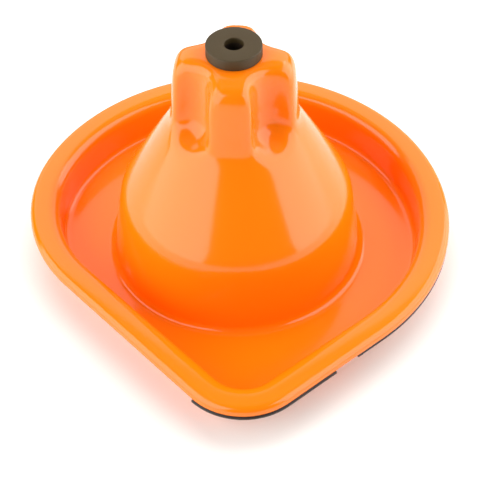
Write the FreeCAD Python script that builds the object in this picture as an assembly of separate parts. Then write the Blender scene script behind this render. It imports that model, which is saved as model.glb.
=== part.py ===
import FreeCAD, Part
import math
import os

# Ground-standing pheromone trap: a one-piece teardrop water pan with a hollow central tower,
# standing over a lure unit on a round bottom cover. The pan lifts straight off the cover.
# Millimetres. Z up, origin on the tower's axis at ground level, the pouring tip points to -Y.

# ---- driving dimensions -------------------------------------------------------------------
wall = 2.5                      # thickness of the formed pan
floor_top = wall                # upper face of the moat's floor
clearance = 0.4                 # gap between bodies that move apart

# pan outline: a big round back, a fuller rounding on the left and a rounded pouring tip
back_radius = 125.6
back_centre_y = 2.2             # the back's centre lies a little behind the tower's axis
corner_radius = 100.0
tip_radius = 37.0
left_flank_angle = 47.8         # direction of each flank's normal, counted from the tip
right_flank_angle = 38.5
left_flank_distance = 108.8     # from the tower's axis to the left flank

# rim and moat
moat_depth = 25.0
rim_top = floor_top + moat_depth
rim_width = 17.0
moat_wall_draft = 1.2
skirt_height = 5.5
rim_outer_fillet = 4.0
rim_inner_fillet = 7.0
moat_floor_fillet = 4.0

# tower: a drum, a cone above it and a neck with four lobes
drum_foot_radius = 73.9
drum_slope = 0.152              # radius lost per millimetre of height
cone_radius_ref = 38.3          # cone radius at the reference height
cone_height_ref = 92.5 + floor_top
cone_slope = 0.597
shoulder_fillet = 33.0
drum_foot_fillet = 5.0
cone_top = 112.0 + floor_top

neck_top = 139.2 + floor_top
neck_bottom = 86.0 + floor_top
lobe_reach_top = 31.2           # from the axis to the middle of a lobe's face
lobe_reach_bottom = 35.8
lobe_face_radius = 60.0
lobe_turn = -5.0                # the four lobes are turned a little about Z
lobe_edge_fillet = 5.5
lobe_inner_fillet = 3.0         # on the inside of the formed neck
neck_top_fillet = 8.0
flute_radius = 12.2             # round grooves between the lobes
flute_axis_radius = 33.6
flute_ball_height = 107.9 + floor_top

# top washer and the bush that holds it
washer_radius = 15.0
washer_height = 6.3
bore_radius = 5.2
spigot_radius = 8.0
spigot_rise = 3.0               # how far the bush stands into the washer
bush_flange_radius = 13.0
bush_flange_height = 2.0

# strips under the lip
strip_thickness = 1.6
strip_width = 9.0
strip_proud = 0.5               # the front strip stands out this far past the lip
strip_fan = 6                   # rays of the fan that cuts a strip to length
front_strip_ends = (-10.5, 23.5)    # directions from the axis, counted from the tip
side_strip_ends = (30.7, 75.0)

# bottom cover
cover_thickness = 2.5
cover_rim_height = 16.0
cover_rim_wall = 2.2
seal_low = 7.0
seal_high = 10.5
seal_depth = 1.4
cover_rim_radius = 68.8         # clears the tower's wall, which leans in above it
cover_plate_radius = 70.9       # the plate below is a little wider

# lure mast
mast_radius = 8.0
mast_bore = 5.5
mast_foot_radius = 22.0
mast_foot_height = 5.0
mast_top = 106.0
gusset_thickness = 2.4
gusset_height = 22.0
screw_circle = 15.5
screw_count = 3
screw_radius = 1.5
screw_head_radius = 2.9
screw_head_height = 1.7
screw_length = 4.5              # below the head
screw_head_room = 0.3           # gap round a head in its recess
screw_hole_room = 0.2           # gap round a shank in its hole
screw_tip_room = 0.3            # gap beyond a screw's end
screw_drive_radius = 1.1
screw_drive_depth = 0.9
spot_face_depth = 1.9           # recess in the cover for each screw head

# lure cup, lure and lid
cup_radius = 14.0
cup_wall = 1.6
cup_height = 22.0
cup_floor = 2.0
cup_slots = 8
cup_slot_width = 4.0
cup_spigot_length = 10.0
cup_slot_margin = 2.0           # wall left above and below each slot
lid_radius = 16.0
lid_top = 2.0
lid_skirt = 7.0
lid_holes = 6
lid_hole_radius = 1.8
lid_hole_circle = 8.5
lug_radius = 1.0                # two lugs on the cup run in a groove inside the lid
lug_height = 1.0
lug_count = 2
lug_below_rim = 2.5
lid_turn = 60.0                 # the lid unlocks after this turn
lid_gap = 0.3                   # between the cup's rim and the lid
lid_edge_fillet = 0.8
septum_radius = 5.0
septum_collar_radius = 7.0
septum_height = 17.0
septum_stem_share = 0.55        # part of its height that is the thinner stem
septum_well_radius = 3.0
septum_well_floor = 4.0

axis_z = FreeCAD.Vector(0, 0, 1)
origin = FreeCAD.Vector(0, 0, 0)


# ---- small helpers ------------------------------------------------------------------------
def cylinder(radius, low, high, x=0.0, y=0.0):
    return Part.makeCylinder(radius, high - low, FreeCAD.Vector(x, y, low))


def ring(outer, inner, low, high):
    return cylinder(outer, low, high).cut(cylinder(inner, low - 1, high + 1))


def around(shape, count, start=0.0):
    """Copies of a shape, evenly turned about the tower's axis."""
    copies = []
    for i in range(count):
        copy = shape.copy()
        copy.rotate(origin, axis_z, start + 360.0 * i / count)
        copies.append(copy)
    return copies


def edges_at_height(shape, height, radius_low, radius_high):
    """Level edges at this height whose distance from the axis lies between two radii."""
    found = []
    for edge in shape.Edges:
        box = edge.BoundBox
        if box.ZMax - box.ZMin > 0.05 or abs(box.ZMin - height) > 0.05:
            continue
        middle = edge.valueAt((edge.FirstParameter + edge.LastParameter) / 2)
        if radius_low < math.hypot(middle.x, middle.y) < radius_high:
            found.append(edge)
    return found


def circles_at(shape, radius, height):
    """The round edges of a shape about the axis with this radius and height."""
    return edges_at_height(shape, height, radius - 0.3, radius + 0.3)


# ---- the teardrop outline -----------------------------------------------------------------
def direction(angle):
    """Unit vector at an angle from the tip, positive towards +X."""
    turn = math.radians(angle)
    return FreeCAD.Vector(math.sin(turn), -math.cos(turn), 0)


def outline_centres():
    """Centres of the back, the left rounding and the tip, and where the back meets the rounding."""
    left = direction(-left_flank_angle)
    right = direction(right_flank_angle)
    back = FreeCAD.Vector(0, back_centre_y, 0)
    inner = back_radius - corner_radius
    base = left_flank_distance - corner_radius - back.dot(left)
    corner_angle = left_flank_angle + math.degrees(math.acos(base / inner))
    corner = back + direction(-corner_angle) * inner
    left_distance = left_flank_distance - tip_radius
    right_distance = back.dot(right) + back_radius - tip_radius
    det = left.x * right.y - left.y * right.x
    tip_x = (left_distance * right.y - left.y * right_distance) / det
    tip_y = (left.x * right_distance - left_distance * right.x) / det
    return back, corner, FreeCAD.Vector(tip_x, tip_y, 0), corner_angle


def arc(centre, radius, first, last, z):
    lift = FreeCAD.Vector(0, 0, z)
    points = [centre + direction(a) * radius + lift for a in (first, (first + last) / 2, last)]
    return Part.Arc(*points).toShape()


def teardrop(inset, z):
    """The pan's outline moved inwards by an inset, as a closed wire at height z."""
    middle, corner, tip, corner_angle = outline_centres()
    back = arc(middle, back_radius - inset, right_flank_angle, 360.0 - corner_angle, z)
    left = arc(corner, corner_radius - inset, -corner_angle, -left_flank_angle, z)
    front = arc(tip, tip_radius - inset, -left_flank_angle, right_flank_angle, z)
    left_flank = Part.makeLine(left.Vertexes[-1].Point, front.Vertexes[0].Point)
    right_flank = Part.makeLine(front.Vertexes[-1].Point, back.Vertexes[0].Point)
    return Part.Wire([back, left, left_flank, front, right_flank])


def teardrop_block(inset, low, high, inset_high=None):
    """A teardrop-shaped block, drafted when the upper inset differs."""
    if inset_high is None:
        return Part.Face(teardrop(inset, low)).extrude(FreeCAD.Vector(0, 0, high - low))
    return Part.makeLoft([teardrop(inset, low), teardrop(inset_high, high)], True, True)


# ---- tower --------------------------------------------------------------------------------
def drum_radius(z, inset=0.0):
    return drum_foot_radius - drum_slope * (z - floor_top) - inset * math.hypot(1, drum_slope)


def cone_radius(z, inset=0.0):
    return cone_radius_ref - cone_slope * (z - cone_height_ref) - inset * math.hypot(1, cone_slope)


def drum_and_cone(inset, low):
    """Solid of revolution under the neck, with its large rounded shoulder."""
    gain = cone_slope - drum_slope
    step = cone_radius(0, inset) - drum_radius(0, inset)
    shoulder = step / gain
    top = cone_top - inset
    points = [(0, low), (drum_radius(low, inset), low), (drum_radius(shoulder, inset), shoulder),
              (cone_radius(top, inset), top), (0, top), (0, low)]
    face = Part.Face(Part.makePolygon([FreeCAD.Vector(r, 0, z) for r, z in points]))
    solid = face.revolve(origin, axis_z, 360)
    edges = circles_at(solid, drum_radius(shoulder, inset), shoulder)
    return solid.makeFillet(shoulder_fillet - inset, edges)


def lobed_wire(reach, z):
    """Four gently curved faces, one for each lobe, meeting at the diagonals."""
    back_off = lobe_face_radius - reach
    corner = (math.sqrt(2 * lobe_face_radius ** 2 - back_off ** 2) - back_off) / 2
    edges = []
    for i in range(4):
        face = [FreeCAD.Vector(-corner, -corner, z), FreeCAD.Vector(0, -reach, z),
                FreeCAD.Vector(corner, -corner, z)]
        edge = Part.Arc(*face).toShape()
        edge.rotate(origin, axis_z, 90.0 * i + lobe_turn)
        edges.append(edge)
    return Part.Wire(edges)


def flutes(inset, ball):
    """The four round grooves at the diagonals, as cutters."""
    radius = flute_radius + inset
    low = flute_ball_height if ball else neck_bottom - 5
    at = flute_axis_radius * math.sqrt(0.5)
    cutter = cylinder(radius, low, neck_top + 20, at, at)
    if ball:
        cutter = cutter.fuse(Part.makeSphere(radius, FreeCAD.Vector(at, at, low))).removeSplitter()
    return around(cutter, 4, lobe_turn)


def neck(inset):
    """The lobed grip above the cone, rounded at its edges."""
    top = neck_top - inset
    grow = lobe_reach_bottom - lobe_reach_top
    reach_top = lobe_reach_top + grow * inset / (neck_top - neck_bottom) - inset
    solid = Part.makeLoft([lobed_wire(lobe_reach_bottom - inset, neck_bottom),
                           lobed_wire(reach_top, top)], True, True)
    for cutter in flutes(inset, False):
        solid = solid.cut(cutter)
    upright = [e for e in solid.Edges if e.BoundBox.ZLength > 30 and
               math.hypot(e.valueAt(e.FirstParameter).x, e.valueAt(e.FirstParameter).y) > 30 - inset]
    solid = solid.makeFillet(max(lobe_edge_fillet - inset, lobe_inner_fillet), upright)
    rim = edges_at_height(solid, top, 10, 60)
    return solid.makeFillet(neck_top_fillet - inset, rim)


def tower(inset, low):
    body = drum_and_cone(inset, low)
    for cutter in flutes(inset, True):
        body = body.cut(cutter)
    return body.fuse(neck(inset)).removeSplitter()


# ---- the pan body -------------------------------------------------------------------------
def pan_shell():
    """The whole orange moulding: rim, moat, drum, cone and lobed neck in one piece."""
    moat_inset = rim_width + moat_wall_draft
    hem = rim_top - skirt_height
    tray = teardrop_block(moat_inset - wall, 0, rim_top, rim_width - wall)
    tray = tray.makeFillet(moat_floor_fillet + wall, edges_at_height(tray, 0, 40, 200))
    lip = teardrop_block(0, hem, rim_top)
    lip = lip.makeFillet(rim_outer_fillet, edges_at_height(lip, rim_top, 80, 200))
    channel = teardrop_block(wall, hem - 1, rim_top - wall).cut(
        teardrop_block(moat_inset - wall, -1, rim_top + 1, rim_width - wall))
    moat = teardrop_block(moat_inset, floor_top, rim_top, rim_width)
    moat = moat.makeFillet(moat_floor_fillet, edges_at_height(moat, floor_top, 40, 200))
    shell = tray.fuse(lip).cut(moat).cut(channel)
    shell = shell.makeFillet(rim_inner_fillet, edges_at_height(shell, rim_top, 60, 111.5))
    shell = shell.fuse(tower(0, 0)).removeSplitter()
    shell = shell.cut(tower(wall, -1))
    foot = circles_at(shell, drum_foot_radius, floor_top)
    shell = shell.makeFillet(drum_foot_fillet, foot)
    return shell.cut(cylinder(spigot_radius, neck_top - wall - 1, neck_top + 1))


def top_washer():
    """Flat rubber ring on the tower, counterbored from below for the bush."""
    top = neck_top + washer_height
    body = ring(washer_radius, bore_radius, neck_top, top)
    body = body.makeFillet(0.5, circles_at(body, washer_radius, top))
    return body.cut(cylinder(spigot_radius, neck_top - 1, neck_top + spigot_rise))


def vent_bush():
    """Hollow bush pushed up through the tower's roof into the washer."""
    under = neck_top - wall
    tube = ring(spigot_radius, bore_radius, under, neck_top + spigot_rise)
    flange = ring(bush_flange_radius, bore_radius, under - bush_flange_height, under)
    return tube.fuse(flange).removeSplitter()


def lip_strip(first, last, proud):
    """One length of flat strip stuck under the lip between two directions seen from the axis."""
    top = rim_top - skirt_height
    band = teardrop_block(-proud, top - strip_thickness, top)
    band = band.cut(teardrop_block(strip_width, top - strip_thickness - 1, top + 1))
    reach = 2.0 * back_radius
    turns = [first + (last - first) * i / strip_fan for i in range(strip_fan + 1)]
    fan = [origin] + [direction(turn) * reach for turn in turns]
    face = Part.Face(Part.makePolygon(fan + [origin]))
    sector = face.extrude(FreeCAD.Vector(0, 0, rim_top))
    return band.common(sector)


# ---- bottom cover and the lure unit -------------------------------------------------------
def bottom_cover():
    """Round plate with an upstanding rim that pushes into the foot of the tower."""
    plate = cylinder(cover_plate_radius, 0, cover_thickness)
    upstand = ring(cover_rim_radius, cover_rim_radius - cover_rim_wall, 0, cover_rim_height)
    body = plate.fuse(upstand).removeSplitter()
    groove = ring(cover_rim_radius + 1, cover_rim_radius - seal_depth, seal_low, seal_high)
    body = body.cut(groove)
    recess = cylinder(screw_head_radius + screw_head_room, -1, spot_face_depth, screw_circle)
    hole = cylinder(screw_radius + screw_hole_room, -1, cover_thickness + 1, screw_circle)
    for place in around(recess.fuse(hole), screw_count):
        body = body.cut(place)
    return body


def cover_seal():
    """Square-cut rubber ring in the cover's groove, just clear of the pan."""
    outer = drum_radius(seal_high, wall) - clearance
    return ring(outer, cover_rim_radius - seal_depth, seal_low, seal_high)


def lure_mast():
    """Upright tube on a screwed foot, stiffened by three gussets."""
    low = cover_thickness
    foot_top = low + mast_foot_height
    body = cylinder(mast_foot_radius, low, foot_top).fuse(cylinder(mast_radius, low, mast_top))
    profile = [FreeCAD.Vector(mast_radius - 1, 0, foot_top - 1),
               FreeCAD.Vector(mast_foot_radius - 2, 0, foot_top - 1),
               FreeCAD.Vector(mast_foot_radius - 2, 0, foot_top),
               FreeCAD.Vector(mast_radius, 0, foot_top + gusset_height),
               FreeCAD.Vector(mast_radius - 1, 0, foot_top + gusset_height)]
    plate = Part.Face(Part.makePolygon(profile + [profile[0]]))
    gusset = plate.extrude(FreeCAD.Vector(0, gusset_thickness, 0))
    gusset.translate(FreeCAD.Vector(0, -gusset_thickness / 2, 0))
    for copy in around(gusset, screw_count, 180.0 / screw_count):
        body = body.fuse(copy)
    body = body.removeSplitter().cut(cylinder(mast_bore, foot_top, mast_top + 1))
    hole_top = spot_face_depth + screw_length + screw_tip_room
    for place in around(cylinder(screw_radius, low - 1, hole_top, screw_circle), screw_count):
        body = body.cut(place)
    return body


def mast_screws():
    """Three pan-head screws, up through the cover into the mast's foot."""
    head_top = spot_face_depth
    head = cylinder(screw_head_radius, head_top - screw_head_height, head_top, screw_circle)
    head_low = head_top - screw_head_height
    shank = cylinder(screw_radius, head_top, head_top + screw_length, screw_circle)
    drive = cylinder(screw_drive_radius, head_low - 1, head_low + screw_drive_depth, screw_circle)
    return Part.makeCompound(around(head.fuse(shank).cut(drive), screw_count))


def lure_cup():
    """Slotted cup on top of the mast; its spigot sits in the mast's bore."""
    low = mast_top
    body = cylinder(cup_radius, low, low + cup_height)
    body = body.cut(cylinder(cup_radius - cup_wall, low + cup_floor, low + cup_height + 1))
    slot_height = cup_height - cup_floor - lid_skirt - 2 * cup_slot_margin
    slot_corner = FreeCAD.Vector(0, -cup_slot_width / 2, low + cup_floor + cup_slot_margin)
    slot = Part.makeBox(cup_radius + 2, cup_slot_width, slot_height, slot_corner)
    for cutter in around(slot, cup_slots):
        body = body.cut(cutter)
    body = body.fuse(cylinder(mast_bore, low - cup_spigot_length, low)).removeSplitter()
    lug_low = low + cup_height - lug_below_rim
    lug = cylinder(lug_radius, lug_low, lug_low + lug_height, cup_radius)
    for copy in around(lug, lug_count):
        body = body.fuse(copy)
    return body.removeSplitter()


def lure_septum():
    """Rubber stopper that carries the attractant: a stem, a wider collar and a well in its top."""
    low = mast_top + cup_floor
    step = low + septum_height * septum_stem_share
    top = low + septum_height
    body = cylinder(septum_radius, low, step).fuse(cylinder(septum_collar_radius, step, top))
    body = body.removeSplitter()
    body = body.makeFillet(lid_edge_fillet, circles_at(body, septum_collar_radius, top))
    return body.cut(cylinder(septum_well_radius, low + septum_well_floor, top + 1))


def cup_lid():
    """Perforated bayonet lid with a gripping skirt over the cup."""
    seat = mast_top + cup_height + lid_gap
    inner = cup_radius + clearance
    body = cylinder(lid_radius, seat - lid_skirt, seat + lid_top)
    body = body.makeFillet(lid_edge_fillet, circles_at(body, lid_radius, seat + lid_top))
    body = body.cut(cylinder(inner, seat - lid_skirt - 1, seat))
    groove_radius = cup_radius + lug_radius + clearance
    groove_low = mast_top + cup_height - lug_below_rim - clearance
    body = body.cut(cylinder(groove_radius, groove_low, groove_low + lug_height + 2 * clearance))
    entry = cylinder(lug_radius + clearance, seat - lid_skirt - 1, groove_low + lug_height, cup_radius)
    for cutter in around(entry, lug_count, -lid_turn):
        body = body.cut(cutter)
    hole = cylinder(lid_hole_radius, seat - 1, seat + lid_top + 1, lid_hole_circle)
    for copy in around(hole, lid_holes):
        body = body.cut(copy)
    return body


# ---- build and write ----------------------------------------------------------------------
def main():
    os.makedirs("parts", exist_ok=True)
    nodes = {
        "pan_shell": pan_shell(),
        "top_washer": top_washer(),
        "vent_bush": vent_bush(),
        "lip_strip_front": lip_strip(front_strip_ends[0], front_strip_ends[1], strip_proud),
        "lip_strip_side": lip_strip(side_strip_ends[0], side_strip_ends[1], 0.0),
        "bottom_cover": bottom_cover(),
        "cover_seal": cover_seal(),
        "lure_mast": lure_mast(),
        "mast_screws": mast_screws(),
        "lure_cup": lure_cup(),
        "lure_septum": lure_septum(),
        "cup_lid": cup_lid(),
    }
    for name, shape in nodes.items():
        shape.exportStep("parts/" + name + ".step")
        box = shape.BoundBox
        print("%-16s solids %d valid %s volume %9.1f  z %.1f..%.1f" % (
            name, len(shape.Solids), shape.isValid(), shape.Volume, box.ZMin, box.ZMax))


main()
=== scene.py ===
# %% [markdown]
# # A water-pan pheromone trap
# The trap is a thin orange pan, drawn in one piece over a form: a teardrop moat for soapy water round a
# hollow tower with a four-lobed grip. A rubber ring sits on the tower, and a lure unit stands inside it.
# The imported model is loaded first, and nothing in it is moved: the looks are built around it.

# %% Load the frame
import math

import bpy
import bmesh
import numpy as np
from mathutils import Matrix, Vector


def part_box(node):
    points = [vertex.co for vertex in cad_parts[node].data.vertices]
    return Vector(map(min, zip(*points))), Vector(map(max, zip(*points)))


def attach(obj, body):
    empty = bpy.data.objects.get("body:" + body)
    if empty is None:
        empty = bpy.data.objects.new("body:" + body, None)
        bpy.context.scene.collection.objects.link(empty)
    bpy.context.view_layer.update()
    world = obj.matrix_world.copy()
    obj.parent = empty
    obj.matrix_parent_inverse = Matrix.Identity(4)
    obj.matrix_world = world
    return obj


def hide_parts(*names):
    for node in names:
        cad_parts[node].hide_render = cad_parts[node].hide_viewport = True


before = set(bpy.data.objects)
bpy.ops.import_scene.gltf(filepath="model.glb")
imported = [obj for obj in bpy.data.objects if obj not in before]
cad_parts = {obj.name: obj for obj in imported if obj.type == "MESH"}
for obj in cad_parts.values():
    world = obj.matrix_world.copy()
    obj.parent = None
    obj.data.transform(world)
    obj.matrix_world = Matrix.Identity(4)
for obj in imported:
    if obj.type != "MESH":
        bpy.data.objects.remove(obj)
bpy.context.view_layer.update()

MM = 0.001

# %% [markdown]
# ## Camera
# The view is from about 46 degrees above, with a long lens, so that the round pan stays nearly an
# ellipse. The camera is placed by its distance and height angle from the foot of the tower, and a very
# small roll keeps the hand-held look. A look-at constraint could aim it, but plain angles are easier to read.

# %% Camera
CAMERA_DISTANCE = 0.729
CAMERA_HEIGHT_ANGLE = math.radians(46.26)
CAMERA_PITCH = math.radians(46.39)
CAMERA_YAW = math.radians(0.19)
CAMERA_ROLL = math.radians(-0.86)
CAMERA_LENS = 90.0
FLOOR_TOP = 2.5 * MM


def make_camera():
    forward = Vector((math.sin(CAMERA_YAW) * math.cos(CAMERA_PITCH),
                      math.cos(CAMERA_YAW) * math.cos(CAMERA_PITCH), -math.sin(CAMERA_PITCH)))
    right = Vector((math.cos(CAMERA_YAW), -math.sin(CAMERA_YAW), 0.0))
    up = right.cross(forward)
    tilted_right = right * math.cos(CAMERA_ROLL) + up * math.sin(CAMERA_ROLL)
    tilted_up = up * math.cos(CAMERA_ROLL) - right * math.sin(CAMERA_ROLL)
    turn = Matrix((tilted_right, tilted_up, -forward)).transposed()
    data = bpy.data.cameras.new("camera")
    data.lens = CAMERA_LENS
    data.sensor_width = 36.0
    camera = bpy.data.objects.new("camera", data)
    camera.matrix_world = turn.to_4x4()
    camera.location = (0.0, -CAMERA_DISTANCE * math.cos(CAMERA_HEIGHT_ANGLE),
                       CAMERA_DISTANCE * math.sin(CAMERA_HEIGHT_ANGLE) + FLOOR_TOP)
    bpy.context.scene.collection.objects.link(camera)
    bpy.context.scene.camera = camera
    return camera


camera = make_camera()
print("camera at", tuple(round(v, 3) for v in camera.location))

# %% [markdown]
# ## Finishes
# Every finish is a small node group of its own: a base colour with a slow change across the moulding,
# a roughness that is never quite even, and a fine bump at the scale of the real surface. The patterns
# read Object coordinates in metres, so the same grain fits a big pan and a small lid.

# %% A helper for the finishes
SLOW_SCALE = 28.0     # slow changes of shade per metre


def finish(name, colour, roughness, grain_size, grain_depth, shade=0.08, spread=0.06, **shader):
    """A moulded finish: slow shade change, uneven roughness and a fine grain."""
    material = bpy.data.materials.new(name)
    material.use_nodes = True
    nodes, links = material.node_tree.nodes, material.node_tree.links
    body = nodes["Principled BSDF"]
    place = nodes.new("ShaderNodeTexCoord")
    slow = nodes.new("ShaderNodeTexNoise")
    slow.inputs["Scale"].default_value = SLOW_SCALE
    slow.inputs["Detail"].default_value = 3.0
    grain = nodes.new("ShaderNodeTexNoise")
    grain.inputs["Scale"].default_value = 1.0 / grain_size
    grain.inputs["Detail"].default_value = 2.0
    ramp = nodes.new("ShaderNodeMix")
    ramp.data_type = "RGBA"
    ramp.inputs["A"].default_value = [c * (1.0 - shade) for c in colour] + [1.0]
    ramp.inputs["B"].default_value = [min(1.0, c * (1.0 + shade)) for c in colour] + [1.0]
    even = nodes.new("ShaderNodeMapRange")
    even.inputs["To Min"].default_value = roughness - spread
    even.inputs["To Max"].default_value = roughness + spread
    bump = nodes.new("ShaderNodeBump")
    bump.inputs["Strength"].default_value = 1.0
    bump.inputs["Distance"].default_value = grain_depth
    links.new(place.outputs["Object"], slow.inputs["Vector"])
    links.new(place.outputs["Object"], grain.inputs["Vector"])
    links.new(slow.outputs["Fac"], ramp.inputs["Factor"])
    links.new(ramp.outputs["Result"], body.inputs["Base Color"])
    links.new(slow.outputs["Fac"], even.inputs["Value"])
    links.new(even.outputs["Result"], body.inputs["Roughness"])
    links.new(grain.outputs["Fac"], bump.inputs["Height"])
    links.new(bump.outputs["Normal"], body.inputs["Normal"])
    for socket, value in shader.items():
        body.inputs[socket.replace("_", " ")].default_value = value
    return material


orange_sheet = finish("orange_sheet", (0.93, 0.19, 0.002), 0.14, 2.4 * MM, 0.006 * MM,
                      shade=0.02, spread=0.02)
washer_rubber = finish("washer_rubber", (0.05, 0.03, 0.006), 0.6, 0.5 * MM, 0.06 * MM, shade=0.2)
strip_rubber = finish("strip_rubber", (0.016, 0.009, 0.005), 0.6, 0.4 * MM, 0.03 * MM)
cover_plastic = finish("cover_plastic", (0.03, 0.018, 0.012), 0.42, 0.5 * MM, 0.03 * MM)
white_plastic = finish("white_plastic", (0.78, 0.76, 0.7), 0.38, 0.6 * MM, 0.02 * MM)
lid_plastic = finish("lid_plastic", (0.05, 0.2, 0.08), 0.4, 0.5 * MM, 0.03 * MM)
lure_rubber = finish("lure_rubber", (0.3, 0.05, 0.025), 0.6, 0.3 * MM, 0.03 * MM)
screw_steel = finish("screw_steel", (0.62, 0.61, 0.58), 0.28, 0.2 * MM, 0.004 * MM, Metallic=1.0)
print("finishes", [m.name for m in bpy.data.materials])

# %% [markdown]
# ## The teardrop line
# The pan's outline is a big round back, a slightly tighter rounding on the left and a rounded tip, joined
# by two straight flanks. Each place on it is a centre, a radius and a direction, so a line further in is
# the same formula with a smaller radius. It could be a drawn curve, but the formula keeps true arcs.
# Stations lie closer together where a flute's edge stands over them.

# %% Outline stations
BACK_RADIUS = 125.6 * MM
BACK_CENTRE = np.array([0.0, 2.2 * MM])
CORNER_RADIUS = 100.0 * MM
TIP_RADIUS = 37.0 * MM
LEFT_ANGLE = math.radians(47.8)
RIGHT_ANGLE = math.radians(38.5)
LEFT_DISTANCE = 108.8 * MM
LOBE_TURN = math.radians(-5.0)
FLUTE_EDGE = math.radians(19.0)      # from the middle of a flute to its edge, seen from the axis
FLUTE_EDGE_BAND = math.radians(6.0)
STATIONS = 360
EXTRA_AT_EDGES = 0.25                # added length per radian at a flute's edge, in metres
FINE_STEPS = 500                     # on each arc or flank, before the stations are spread


def towards(angle):
    """Unit vector at an angle from the tip, positive towards +X."""
    return np.array([math.sin(angle), -math.cos(angle)])


def outline_pieces():
    """Arcs and flanks as start and end values of centre x, centre y, radius and direction."""
    left, right = towards(-LEFT_ANGLE), towards(RIGHT_ANGLE)
    inner = BACK_RADIUS - CORNER_RADIUS
    base = LEFT_DISTANCE - CORNER_RADIUS - BACK_CENTRE @ left
    corner_angle = LEFT_ANGLE + math.acos(base / inner)
    corner = BACK_CENTRE + towards(-corner_angle) * inner
    right_distance = BACK_CENTRE @ right + BACK_RADIUS
    tip = np.linalg.solve(np.array([left, right]), [LEFT_DISTANCE - TIP_RADIUS, right_distance - TIP_RADIUS])
    turn = 2.0 * math.pi
    marks = [(*BACK_CENTRE, BACK_RADIUS, RIGHT_ANGLE),
             (*BACK_CENTRE, BACK_RADIUS, turn - corner_angle),
             (*corner, CORNER_RADIUS, turn - corner_angle),
             (*corner, CORNER_RADIUS, turn - LEFT_ANGLE),
             (*tip, TIP_RADIUS, turn - LEFT_ANGLE),
             (*tip, TIP_RADIUS, turn + RIGHT_ANGLE),
             (*BACK_CENTRE, BACK_RADIUS, turn + RIGHT_ANGLE)]
    return np.array(marks)


def outline_point(station, inset):
    """Places on the outline moved inwards by an inset."""
    reach = station[:, 2] - inset
    return np.stack([station[:, 0] + reach * np.sin(station[:, 3]),
                     station[:, 1] - reach * np.cos(station[:, 3])], axis=1)


def stations_between(first, last, count, extra=0.0):
    """Even stations between two directions from the axis; extra length draws them to the flute edges."""
    marks = outline_pieces()
    marks = np.concatenate([marks, marks[1:] + [0.0, 0.0, 0.0, 2.0 * math.pi]])
    fine = []
    for start, end in zip(marks[:-1], marks[1:]):
        share = np.linspace(0.0, 1.0, FINE_STEPS, endpoint=False)[:, None]
        fine.append(start + (end - start) * share)
    fine = np.concatenate(fine + [marks[-1:]])
    place = outline_point(fine, 0.0)
    seen = np.unwrap(np.arctan2(place[:, 0], -place[:, 1]))
    step = np.linalg.norm(np.diff(place, axis=0), axis=1)
    quarter = math.pi / 2
    off_flute = np.abs((seen - LOBE_TURN) % quarter - quarter / 2)
    edge = np.exp(-((off_flute - FLUTE_EDGE) / FLUTE_EDGE_BAND) ** 2)
    step = step + extra * np.diff(seen) * edge[:-1]
    length = np.concatenate([[0.0], np.cumsum(step)])
    low, high = np.interp([first, last], seen, length)
    wanted = np.linspace(low, high, count)
    return np.stack([np.interp(wanted, length, fine[:, i]) for i in range(4)], axis=1)


whole_turn = stations_between(RIGHT_ANGLE, RIGHT_ANGLE + 2 * math.pi, STATIONS + 1, EXTRA_AT_EDGES)[:-1]
print("outline stations", len(whole_turn))

# %% [markdown]
# ## Profile of the pan
# The rim, the moat and the underside follow a section that is the same all the way round. The section
# is a few corner points with a radius at each, and a helper rounds them. A bevel modifier could do the
# same after sharp modelling, but exact arcs give clean highlights on a glossy moulding. The sections are
# the rim with its hem and moat wall, the drum's foot in the moat, and the same foot seen from below.

# %% Rounded section
WALL = 2.5 * MM
RIM_TOP = 27.5 * MM
HEM = 22.0 * MM
RIM_WIDTH = 17.0 * MM
MOAT_INSET = 18.2 * MM
DRUM_FOOT = 73.9 * MM
DRUM_SLOPE = 0.152
JOIN_HEIGHT = 12.0 * MM        # where the drum's foot section meets the drawn rows
FOOT_FLAT = 81.0 * MM          # radius where the drum's foot meets the flat moat floor
RIM_FLAT = 25.0 * MM           # inset where the rim's section meets the flat moat floor
UNDER_FOOT_FLAT = 78.0 * MM
UNDER_RIM_FLAT = 26.0 * MM
ARC_STEPS = 7


def rounded(points, radii):
    """The path through the points with each inner corner replaced by an arc."""
    points = [np.array(p, float) for p in points]
    path = [points[0]]
    for before, corner, after, radius in zip(points[:-2], points[1:-1], points[2:], radii):
        a = (before - corner) / np.linalg.norm(before - corner)
        b = (after - corner) / np.linalg.norm(after - corner)
        half = math.acos(np.clip(a @ b, -1, 1)) / 2
        centre = corner + (a + b) / np.linalg.norm(a + b) * radius / math.sin(half)
        start, end = (corner + d * radius / math.tan(half) - centre for d in (a, b))
        swing = math.atan2(start[0] * end[1] - start[1] * end[0], start @ end)
        for i in range(ARC_STEPS + 1):
            turn = swing * i / ARC_STEPS
            c, s = math.cos(turn), math.sin(turn)
            path.append(centre + np.array([c * start[0] - s * start[1], s * start[0] + c * start[1]]))
    path.append(points[-1])
    return path


def drum_radius(z, inset=0.0):
    return DRUM_FOOT - DRUM_SLOPE * (z - FLOOR_TOP) - inset * math.hypot(1, DRUM_SLOPE)


def with_steps(path, longest):
    """The path with extra points, so that no step is longer than this."""
    out = [path[0]]
    for a, b in zip(path[:-1], path[1:]):
        count = max(1, math.ceil(np.linalg.norm(b - a) / longest))
        out += [a + (b - a) * (i + 1) / count for i in range(count)]
    return out


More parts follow.
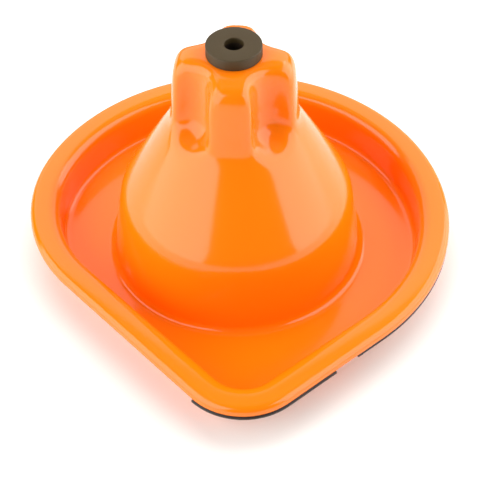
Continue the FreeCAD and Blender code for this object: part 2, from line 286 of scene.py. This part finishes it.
foot_section = with_steps(rounded(
    [(drum_radius(JOIN_HEIGHT), JOIN_HEIGHT), (DRUM_FOOT, FLOOR_TOP), (FOOT_FLAT, FLOOR_TOP)],
    [5.0 * MM]), 3.0 * MM)
rim_section = with_steps(rounded(
    [(RIM_FLAT, FLOOR_TOP), (MOAT_INSET, FLOOR_TOP), (RIM_WIDTH, RIM_TOP), (0.0, RIM_TOP), (0.0, HEM),
     (WALL, HEM), (WALL, RIM_TOP - WALL), (RIM_WIDTH - WALL, RIM_TOP - WALL), (MOAT_INSET - WALL, 0.0),
     (UNDER_RIM_FLAT, 0.0)],
    [4.0 * MM, 7.0 * MM, 4.0 * MM, 0.7 * MM, 0.7 * MM, 1.0 * MM, 1.0 * MM, 6.5 * MM]), 4.0 * MM)
under_section = with_steps(rounded(
    [(UNDER_FOOT_FLAT, 0.0), (drum_radius(0.0, WALL), 0.0), (drum_radius(JOIN_HEIGHT, WALL), JOIN_HEIGHT)],
    [0.8 * MM]), 3.0 * MM)
print("section points", len(foot_section), len(rim_section), len(under_section))

# %% [markdown]
# ## The blank
# The real pan is a flat sheet drawn over a form. Here the blank is a closed skin of rows round the
# tower: the rows of the rim and moat are already in place, and each tower row starts on a line inside
# the tower and carries the direction in which it will be drawn outwards until it meets the form.

# %% Rows of the blank
NECK_TOP = 141.7 * MM
HOLE_RADIUS = 8.0 * MM
ROOF_RING = 10.0 * MM          # a ring on the roof, between its hole and the first drawn row
FLOOR_ROWS = 4                 # rows across the flat of the moat, and below it
UNDER_ROWS = 3
SKIN_STEP = 3                  # the skin inside the tower has every third row only
# where a row starts (radius and height, mm), the angle above level it is drawn at, and rows to the next
DRAW_LINE = [(12.0, 129.7, 90.0, 12), (14.0, 126.0, 45.0, 14), (10.0, 121.0, 0.0, 15),
             (10.0, 108.0, 0.0, 44), (14.0, 74.0, 36.0, 10), (28.0, 56.0, 31.0, 16),
             (50.0, 38.0, 20.0, 8), (55.0, 15.0, 4.0, 0)]


def draw_rows():
    """Start radius, start height and angle of each drawn row, from the roof down to the drum."""
    rows = []
    for (r0, z0, a0, count), (r1, z1, a1, _) in zip(DRAW_LINE[:-1], DRAW_LINE[1:]):
        for i in range(count):
            t = i / count
            rows.append((r0 + (r1 - r0) * t, z0 + (z1 - z0) * t, a0 + (a1 - a0) * t))
    rows.append(DRAW_LINE[-1][:3])
    return rows


def build_blank(stations):
    """Mesh of the blank, with the draw direction and skin depth of every point as attributes."""
    wall_line = outline_point(stations, MOAT_INSET)
    seen = np.arctan2(wall_line[:, 0], -wall_line[:, 1])
    out = np.stack([np.sin(seen), -np.cos(seen)], axis=1)
    count = len(stations)
    rows, pulls, skins = [], [], []

    def add(flat, z, pull=None, skin=0.0):
        rows.append(np.column_stack([flat, np.full(count, z)]))
        pulls.append(np.zeros((count, 3)) if pull is None else pull)
        skins.append(np.full(count, skin))

    def add_drawn(r, z, angle, skin):
        lean = math.radians(angle)
        pull = np.column_stack([out * math.cos(lean), np.full(count, math.sin(lean))])
        add(out * r * MM, z * MM, pull, skin)

    drawn = draw_rows()
    add(out * HOLE_RADIUS, NECK_TOP)
    add(out * ROOF_RING, NECK_TOP)
    for r, z, angle in drawn:
        add_drawn(r, z, angle, 0.0)
    for r, z in foot_section:
        add(out * r, z)
    inner_ring, outer_ring = out * foot_section[-1][0], outline_point(stations, rim_section[0][0])
    for share in np.linspace(0.0, 1.0, FLOOR_ROWS + 2)[1:-1]:
        add(inner_ring + (outer_ring - inner_ring) * share, FLOOR_TOP)
    for inset, z in rim_section:
        add(outline_point(stations, inset), z)
    outer_ring, inner_ring = outline_point(stations, rim_section[-1][0]), out * under_section[0][0]
    for share in np.linspace(0.0, 1.0, UNDER_ROWS + 2)[1:-1]:
        add(outer_ring + (inner_ring - outer_ring) * share, 0.0)
    for r, z in under_section:
        add(out * r, z)
    for r, z, angle in drawn[::-SKIN_STEP]:
        add_drawn(r, z, angle, WALL)
    add(out * ROOF_RING, NECK_TOP - WALL)
    add(out * HOLE_RADIUS, NECK_TOP - WALL)

    points = np.concatenate(rows)
    total = len(rows)
    i, j = np.meshgrid(np.arange(total), np.arange(count), indexing="ij")
    k, m = (i + 1) % total, (j + 1) % count
    quads = np.stack([i * count + j, k * count + j, k * count + m, i * count + m], axis=-1).reshape(-1, 4)
    mesh = bpy.data.meshes.new("pan_blank")
    mesh.from_pydata(points.tolist(), [], quads.tolist())
    pull = mesh.attributes.new("pull", "FLOAT_VECTOR", "POINT")
    pull.data.foreach_set("vector", np.concatenate(pulls).ravel())
    skin = mesh.attributes.new("skin", "FLOAT", "POINT")
    skin.data.foreach_set("value", np.concatenate(skins))
    mesh.update()
    return mesh


blank = bpy.data.objects.new("pan_blank", build_blank(whole_turn))
bpy.context.scene.collection.objects.link(blank)
print("blank faces", len(blank.data.polygons))

# %% [markdown]
# ## Drawing the pan over its form
# The form is a rule: how far any point in space is from the tower's surface. A soft maximum rounds the
# edge between drum and cone, and takes the flutes away: round grooves from the neck's lobes, and round
# ends from the cone. A soft minimum then joins neck and cone, so every edge comes out rounded as on a
# drawn sheet. Geometry Nodes hold the rule, and a repeat zone moves each row along its direction by the
# distance that is left, until it lies on the form.
# Boolean cuts and bevels could make the neck too, but they leave seams that a glossy surface shows.

# %% Fields: arithmetic that writes Math nodes


class Field:
    """A value at every point of a mesh; arithmetic on it adds Math nodes to the tree."""

    def __init__(self, tree, socket):
        self.tree = tree
        self.socket = socket

    def math(self, operation, *others):
        node = self.tree.nodes.new("ShaderNodeMath")
        node.operation = operation
        for slot, value in zip(node.inputs, (self,) + others):
            if isinstance(value, Field):
                self.tree.links.new(value.socket, slot)
            else:
                slot.default_value = value
        return Field(self.tree, node.outputs[0])

    def __add__(self, other):
        return self.math("ADD", other)

    def __sub__(self, other):
        return self.math("SUBTRACT", other)

    def __mul__(self, other):
        return self.math("MULTIPLY", other)

    def __abs__(self):
        return self.math("ABSOLUTE")

    def reach(self, other):
        """Length of the arrow with these two parts."""
        return (self * self + other * other).math("SQRT")

    def soft_max(self, other, blend):
        return self.math("SMOOTH_MAX", other, blend)

    def soft_min(self, other, blend):
        return self.math("SMOOTH_MIN", other, blend)


# %% [markdown]
# ## Sizes of the form
# The form's sizes are kept together by name, and become the inputs of the tree. The lobed neck is turned
# five degrees about the tower's axis, and its lobes lean in a little towards the roof, as a hand grip
# does. They could be bare numbers in the nodes, but as named inputs they can be changed in one place.

# %% Inputs of the form
FORM = {
    "Neck top": NECK_TOP,
    "Lobe reach at top": 32.2 * MM,
    "Lobe reach at foot": 35.9 * MM,
    "Neck foot": 88.5 * MM,
    "Lobe face radius": 60.0 * MM,
    "Flute radius": 12.6 * MM,
    "Flute offset": 23.8 * MM,
    "Flute ball height": 110.4 * MM,
    "Cone reference radius": 38.3 * MM,
    "Cone reference height": 95.0 * MM,
    "Cone slope": 0.597,
    "Cone cap": 114.5 * MM,
    "Drum foot radius": DRUM_FOOT,
    "Drum foot height": FLOOR_TOP,
    "Drum slope": DRUM_SLOPE,
    "Top rounding": 19.0 * MM,
    "Flute rounding": 12.0 * MM,
    "Foot rounding": 3.5 * MM,
    "Shoulder rounding": 4.0 * MM,
}
DRAW_STEPS = 40


def form_distance(tree, value):
    """Distance from the tower's surface, less than nothing inside it."""
    place = tree.nodes.new("GeometryNodeInputPosition")
    split = tree.nodes.new("ShaderNodeSeparateXYZ")
    tree.links.new(place.outputs[0], split.inputs[0])
    x, y, z = (Field(tree, split.outputs[i]) for i in range(3))
    c, s = math.cos(LOBE_TURN), math.sin(LOBE_TURN)
    across = abs(x * c + y * s)
    along = abs(y * c - x * s)
    from_axis = x.reach(y)

    def slanted(radius, height, slope):
        lean = (value(slope) * value(slope) + 1.0).math("INVERSE_SQRT")
        return (from_axis - (value(radius) - (z - value(height)) * value(slope))) * lean

    drum = slanted("Drum foot radius", "Drum foot height", "Drum slope")
    cone = slanted("Cone reference radius", "Cone reference height", "Cone slope")
    body = drum.soft_max(cone, value("Shoulder rounding")).math("MAXIMUM", z - value("Cone cap"))

    rise = (z - value("Neck foot")).math("DIVIDE", value("Neck top") - value("Neck foot"))
    reach = value("Lobe reach at foot") + (value("Lobe reach at top") - value("Lobe reach at foot")) * rise
    centre = value("Lobe face radius") - reach
    face_a = (across + centre).reach(along) - value("Lobe face radius")
    face_b = (along + centre).reach(across) - value("Lobe face radius")
    lobes = face_a.math("MAXIMUM", face_b).soft_max(z - value("Neck top"), value("Top rounding"))

    below = (z - value("Flute ball height")).math("MINIMUM", 0.0)
    sideways = (across - value("Flute offset")).reach(along - value("Flute offset"))
    groove = value("Flute radius") - sideways
    ball = value("Flute radius") - sideways.reach(below)
    grip = lobes.soft_max(groove, value("Flute rounding"))
    base = body.soft_max(ball, value("Flute rounding"))
    return grip.soft_min(base, value("Foot rounding"))


def draw_tree(material):
    """Geometry Nodes tree that draws a blank onto the form."""
    tree = bpy.data.node_groups.new("draw_pan", "GeometryNodeTree")
    tree.interface.new_socket("Geometry", in_out="INPUT", socket_type="NodeSocketGeometry")
    tree.interface.new_socket("Geometry", in_out="OUTPUT", socket_type="NodeSocketGeometry")
    for name in FORM:
        tree.interface.new_socket(name, in_out="INPUT", socket_type="NodeSocketFloat")
    nodes, links = tree.nodes, tree.links
    entry, leave = nodes.new("NodeGroupInput"), nodes.new("NodeGroupOutput")

    def value(name):
        return Field(tree, entry.outputs[name])

    def stored(name, kind):
        node = nodes.new("GeometryNodeInputNamedAttribute")
        node.data_type = kind
        node.inputs["Name"].default_value = name
        return node.outputs["Attribute"]

    begin, end = nodes.new("GeometryNodeRepeatInput"), nodes.new("GeometryNodeRepeatOutput")
    begin.pair_with_output(end)
    begin.inputs["Iterations"].default_value = DRAW_STEPS
    left = form_distance(tree, value) + Field(tree, stored("skin", "FLOAT"))
    shift = nodes.new("ShaderNodeVectorMath")
    shift.operation = "SCALE"
    links.new(stored("pull", "FLOAT_VECTOR"), shift.inputs[0])
    links.new((left * -1.0).socket, shift.inputs["Scale"])
    move = nodes.new("GeometryNodeSetPosition")
    links.new(begin.outputs["Geometry"], move.inputs["Geometry"])
    links.new(shift.outputs[0], move.inputs["Offset"])
    links.new(move.outputs[0], end.inputs["Geometry"])
    smooth = nodes.new("GeometryNodeSetShadeSmooth")
    realize = nodes.new("GeometryNodeRealizeInstances")
    paint = nodes.new("GeometryNodeSetMaterial")
    paint.inputs["Material"].default_value = material
    chain = [(entry, "Geometry", begin), (end, "Geometry", smooth), (smooth, 0, realize),
             (realize, 0, paint), (paint, 0, leave)]
    for source, output, target in chain:
        links.new(source.outputs[output], target.inputs["Geometry"])
    return tree


# %% [markdown]
# ## From nodes to a plain mesh
# A tree is run once on its starting object with the sizes as inputs, and the result is kept as a plain
# mesh, so that each piece is one finished object. Leaving the modifier on would work, but a plain mesh
# is steadier. The first piece made this way is the pan.

# %% Turn a node result into a plain mesh


def run_tree(obj, tree, values, name):
    """Apply a tree to an object with named inputs and return the result as a new plain object."""
    modifier = obj.modifiers.new(tree.name, "NODES")
    modifier.node_group = tree
    for item in tree.interface.items_tree:
        if item.in_out == "INPUT" and item.name in values:
            modifier[item.identifier] = values[item.name]
    bpy.context.view_layer.update()
    depsgraph = bpy.context.evaluated_depsgraph_get()
    mesh = bpy.data.meshes.new_from_object(obj.evaluated_get(depsgraph))
    obj.modifiers.remove(modifier)
    bpy.data.objects.remove(obj)
    mesh.name = name
    result = bpy.data.objects.new(name, mesh)
    bpy.context.scene.collection.objects.link(result)
    return result


pan = run_tree(blank, draw_tree(orange_sheet), FORM, "pan")
for label in ("pull", "skin"):
    pan.data.attributes.remove(pan.data.attributes[label])
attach(pan, "pan")
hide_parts("pan_shell")
heights = [v.co.z for v in pan.data.vertices]
print("pan", len(pan.data.polygons), "faces, z", round(min(heights), 4), round(max(heights), 4))

# %% [markdown]
# ## Strips under the lip
# Two lengths of flat rubber strip are stuck to the lip's hem, one round the tip and one along the right
# flank. Each is a rectangle that follows the outline, so it is swept along its line with Curve to Mesh.
# A solidified ribbon would do too, but the sweep keeps the width and thickness as two plain numbers.

# %% Strips swept along the lip
STRIP_WIDTH = 9.0 * MM
STRIP_THICKNESS = 1.6 * MM
STRIP_PROUD = 0.5 * MM           # the front strip stands out this far past the lip
FRONT_STRIP_ENDS = (349.5, 383.5)    # directions in degrees, counted from the tip
SIDE_STRIP_ENDS = (390.7, 435.0)
STRIP_STATIONS = 60


def sweep_tree(material):
    """Geometry Nodes tree that turns a line into a flat strip lying level."""
    tree = bpy.data.node_groups.new("sweep_strip", "GeometryNodeTree")
    tree.interface.new_socket("Geometry", in_out="INPUT", socket_type="NodeSocketGeometry")
    tree.interface.new_socket("Geometry", in_out="OUTPUT", socket_type="NodeSocketGeometry")
    for name in ("Width", "Thickness"):
        tree.interface.new_socket(name, in_out="INPUT", socket_type="NodeSocketFloat")
    nodes, links = tree.nodes, tree.links
    entry, leave = nodes.new("NodeGroupInput"), nodes.new("NodeGroupOutput")
    to_curve = nodes.new("GeometryNodeMeshToCurve")
    level = nodes.new("GeometryNodeSetCurveNormal")
    level.mode = "Z_UP"
    section = nodes.new("GeometryNodeCurvePrimitiveQuadrilateral")
    sweep = nodes.new("GeometryNodeCurveToMesh")
    sweep.inputs["Fill Caps"].default_value = True
    realize = nodes.new("GeometryNodeRealizeInstances")
    paint = nodes.new("GeometryNodeSetMaterial")
    paint.inputs["Material"].default_value = material
    links.new(entry.outputs["Geometry"], to_curve.inputs[0])
    links.new(to_curve.outputs[0], level.inputs[0])
    links.new(level.outputs[0], sweep.inputs["Curve"])
    links.new(entry.outputs["Width"], section.inputs["Width"])
    links.new(entry.outputs["Thickness"], section.inputs["Height"])
    links.new(section.outputs[0], sweep.inputs["Profile Curve"])
    links.new(sweep.outputs[0], realize.inputs[0])
    links.new(realize.outputs[0], paint.inputs["Geometry"])
    links.new(paint.outputs[0], leave.inputs[0])
    return tree


def face_outwards(mesh):
    """Turn every face of a closed mesh outwards."""
    work = bmesh.new()
    work.from_mesh(mesh)
    bmesh.ops.recalc_face_normals(work, faces=work.faces)
    work.to_mesh(mesh)
    work.free()


def lip_strip(node, ends, proud):
    """One strip under the lip between two directions."""
    along = stations_between(*np.radians(ends), STRIP_STATIONS)
    line = outline_point(along, (STRIP_WIDTH - proud) / 2)
    points = [(x, y, HEM - STRIP_THICKNESS / 2) for x, y in line]
    mesh = bpy.data.meshes.new(node + "_line")
    mesh.from_pydata(points, [(i, i + 1) for i in range(STRIP_STATIONS - 1)], [])
    path = bpy.data.objects.new(node + "_line", mesh)
    bpy.context.scene.collection.objects.link(path)
    sizes = {"Width": STRIP_WIDTH + proud, "Thickness": STRIP_THICKNESS}
    strip = run_tree(path, sweep_tree(strip_rubber), sizes, node + "_swept")
    face_outwards(strip.data)
    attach(strip, "pan")
    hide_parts(node)
    return strip


front_strip = lip_strip("lip_strip_front", FRONT_STRIP_ENDS, STRIP_PROUD)
side_strip = lip_strip("lip_strip_side", SIDE_STRIP_ENDS, 0.0)
for strip in (front_strip, side_strip):
    print(strip.name, "size mm", [round(v / MM, 1) for v in strip.dimensions])

# %% [markdown]
# ## Turned pieces
# The washer is a turned ring with small roundings at its edges, which catch a thin line of light. Its
# bore widens below, where the bush's spigot stands in it. A helper turns a closed section about the
# tower's axis. A Screw modifier could do it, but the plain loop closes the ring without a seam.

# %% Lathe
TURN_STEPS = 128


def turned(name, section, radii, material):
    """A ring made by turning a closed section of (radius, height) about Z."""
    corners = [np.array(p, float) for p in section]
    middle = (corners[0] + corners[-1]) / 2
    loop = rounded([middle] + corners + [middle], radii)[:-1]
    count = len(loop)
    mesh = bpy.data.meshes.new(name)
    points, quads = [], []
    for i in range(TURN_STEPS):
        turn = 2 * math.pi * i / TURN_STEPS
        points += [(r * math.cos(turn), r * math.sin(turn), z) for r, z in loop]
        after = (i + 1) % TURN_STEPS
        quads += [(i * count + j, after * count + j, after * count + (j + 1) % count,
                   i * count + (j + 1) % count) for j in range(count)]
    mesh.from_pydata(points, [], quads)
    face_outwards(mesh)
    mesh.shade_smooth()
    mesh.materials.append(material)
    obj = bpy.data.objects.new(name, mesh)
    bpy.context.scene.collection.objects.link(obj)
    return obj


WASHER_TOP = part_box("top_washer")[1][2]
WASHER_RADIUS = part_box("top_washer")[1][0]
BORE_RADIUS = 5.2 * MM
SPIGOT_TOP = NECK_TOP + 3.0 * MM
washer_section = [(BORE_RADIUS, SPIGOT_TOP), (HOLE_RADIUS, SPIGOT_TOP), (HOLE_RADIUS, NECK_TOP),
                  (WASHER_RADIUS, NECK_TOP), (WASHER_RADIUS, WASHER_TOP), (BORE_RADIUS, WASHER_TOP)]
washer_roundings = [r * MM for r in (0.05, 0.05, 0.3, 0.3, 0.55, 0.5)]
washer = turned("washer_ring", washer_section, washer_roundings, washer_rubber)
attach(washer, "pan")
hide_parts("top_washer")
print("washer faces", len(washer.data.polygons))

# %% [markdown]
# ## CAD parts that stay as they are
# The bush and the lure unit are plain turned and drilled parts that already have their real shape, so
# they only get their finishes. Rebuilding them would add nothing, because the pan hides them at rest.

# %% Finishes of the kept parts
kept = {"vent_bush": cover_plastic, "bottom_cover": cover_plastic, "cover_seal": strip_rubber,
        "lure_mast": white_plastic, "mast_screws": screw_steel, "lure_cup": white_plastic,
        "lure_septum": lure_rubber, "cup_lid": lid_plastic}
for node, material in kept.items():
    obj = bpy.data.objects[node]
    obj.data.materials.clear()
    obj.data.materials.append(material)
print("kept as they are", sorted(kept))

# %% [markdown]
# ## Floor
# The trap stands on a sheet of pale paper, wide enough to fill the view. It is one flat face. A curved
# backdrop would hide the far edge, but the main camera looks down and never sees that edge.

# %% Floor
FLOOR_HALF = 3.0
floor_paper = finish("floor_paper", (0.93, 0.925, 0.89), 0.7, 2.0 * MM, 0.01 * MM, shade=0.005)


def make_floor():
    """The paper that the trap stands on."""
    mesh = bpy.data.meshes.new("floor")
    corners = [(FLOOR_HALF * x, FLOOR_HALF * y, 0) for x, y in ((-1, -1), (1, -1), (1, 1), (-1, 1))]
    mesh.from_pydata(corners, [], [(0, 1, 2, 3)])
    mesh.materials.append(floor_paper)
    floor = bpy.data.objects.new("floor", mesh)
    bpy.context.scene.collection.objects.link(floor)
    return floor


print("floor size", tuple(make_floor().dimensions))

# %% [markdown]
# ## Light panels
# Big soft panels stand round the trap, as in a light tent: one on each side, one behind and one overhead.
# The gap in front, where the camera stands, shows as a darker band down the cone. The overhead panel only
# lights and isn't mirrored, which keeps the front of the rim a deep orange. Area lights are used in place
# of glowing planes, because they stay out of the object count and give cleaner soft light.

# %% Light panels
AIM_HEIGHT = 60.0 * MM
TENT_COLOUR = (1.0, 0.995, 0.985, 1.0)
TENT_STRENGTH = 0.06


def panel(name, direction, height_angle, distance, width, height, power):
    """A soft panel that faces the trap from a direction counted from the front, positive to the right."""
    turn, lift = math.radians(direction), math.radians(height_angle)
    data = bpy.data.lights.new(name, "AREA")
    data.shape = "RECTANGLE"
    data.size, data.size_y = width, height
    data.energy = power
    light = bpy.data.objects.new(name, data)
    aim = Vector((math.sin(turn) * math.cos(lift), -math.cos(turn) * math.cos(lift), math.sin(lift)))
    light.location = aim * distance + Vector((0, 0, AIM_HEIGHT))
    light.rotation_euler = aim.to_track_quat("Z", "Y").to_euler()
    bpy.context.scene.collection.objects.link(light)
    return light


panel("left_panel", -67, 24, distance=1.0, width=1.7, height=1.2, power=18.5)
panel("right_panel", 90, 24, distance=1.0, width=1.7, height=1.2, power=18.5)
panel("back_panel", 180, 32, distance=1.2, width=2.0, height=0.9, power=7.5)
overhead = panel("top_panel", 180, 72, distance=1.2, width=1.2, height=0.9, power=9)
overhead.visible_glossy = False

world = bpy.data.worlds.new("tent")
world.use_nodes = True
tent_light = world.node_tree.nodes["Background"]
tent_light.inputs["Color"].default_value = TENT_COLOUR
tent_light.inputs["Strength"].default_value = TENT_STRENGTH
bpy.context.scene.world = world
bpy.context.scene.view_settings.view_transform = "Standard"
